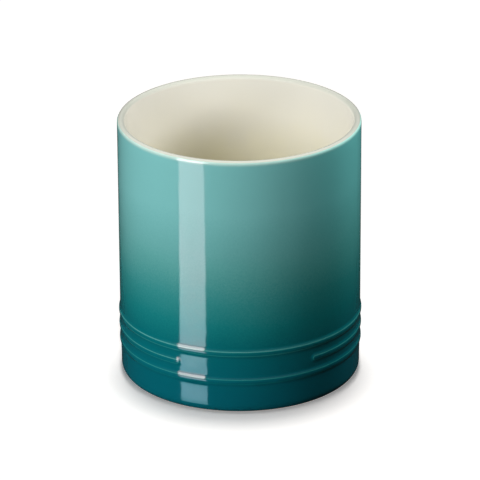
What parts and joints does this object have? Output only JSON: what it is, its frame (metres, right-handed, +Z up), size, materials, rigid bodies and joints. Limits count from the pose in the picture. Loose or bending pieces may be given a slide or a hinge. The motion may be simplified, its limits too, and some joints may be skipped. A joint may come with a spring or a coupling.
{
  "type": "utensil crock",
  "caption": "Straight round stoneware jar, open at the top, glazed cream inside and graded teal outside, with low raised rings near its base, for standing kitchen utensils in.",
  "frame": {"origin": "middle of the foot ring, on the surface that the crock stands on", "axes": "+Z up the axis of the jar, out of its mouth; -Y towards the front, where the middle ring has its bare place; +X to the right seen from the front"},
  "size_m": [0.161, 0.161, 0.178],
  "materials": {
    "bare_stoneware": "matte",
    "colour_glaze": "gloss",
    "cream_glaze": "gloss"
  },
  "bodies": {
    "root": {"stoneware_body": "bare_stoneware", "outer_glaze": "colour_glaze", "liner_glaze": "cream_glaze", "base_glaze": "colour_glaze"}
  },
  "joints": []
}
